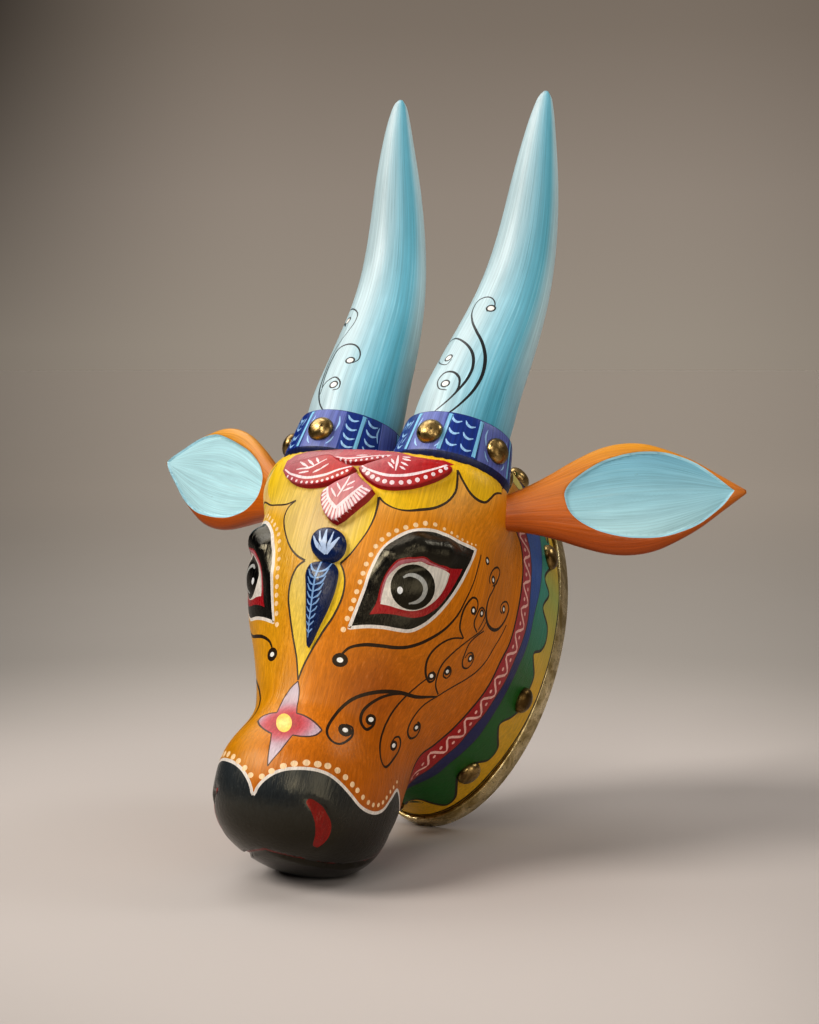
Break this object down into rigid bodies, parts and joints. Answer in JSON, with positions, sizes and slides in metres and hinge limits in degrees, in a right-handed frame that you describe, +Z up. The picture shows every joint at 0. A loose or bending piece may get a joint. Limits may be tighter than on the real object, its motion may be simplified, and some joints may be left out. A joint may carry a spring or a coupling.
{
  "type": "carved wooden cow mask",
  "caption": "Painted wooden cow head mask with tall curved horns, leaf ears, dome-nailed collars and a brass hoop round its hollow back.",
  "frame": {"origin": "on the ground under the middle of the standing mask's bounding box", "axes": "-Y the way the face looks, +X towards the cow's left ear, +Z up; the back leans back 29 degrees from the vertical"},
  "size_m": [0.5091, 0.3927, 0.5718],
  "materials": {
    "head_paint": "painted ochre with ornament, satin",
    "horn_paint": "painted light blue, satin",
    "collar_paint": "painted dark blue with ornament, satin",
    "ear_paint": "painted ochre and light blue, satin",
    "rim_brass": "darkened and mottled",
    "nail_brass": "darkened, worn bright on top"
  },
  "bodies": {
    "root": {"head": "head_paint", "horn_left": "horn_paint", "collar_left": "collar_paint", "ear_left": "ear_paint", "horn_right": "horn_paint", "collar_right": "collar_paint", "ear_right": "ear_paint", "rim_band": "rim_brass", "rim_nail_1": "nail_brass", "rim_nail_2": "nail_brass", "rim_nail_3": "nail_brass", "rim_nail_4": "nail_brass", "rim_nail_5": "nail_brass", "rim_nail_6": "nail_brass", "rim_nail_7": "nail_brass", "rim_nail_8": "nail_brass", "rim_nail_9": "nail_brass", "collar_nail_left_1": "nail_brass", "collar_nail_left_2": "nail_brass", "collar_nail_left_3": "nail_brass", "collar_nail_left_4": "nail_brass", "collar_nail_right_1": "nail_brass", "collar_nail_right_2": "nail_brass", "collar_nail_right_3": "nail_brass", "collar_nail_right_4": "nail_brass"}
  },
  "joints": []
}
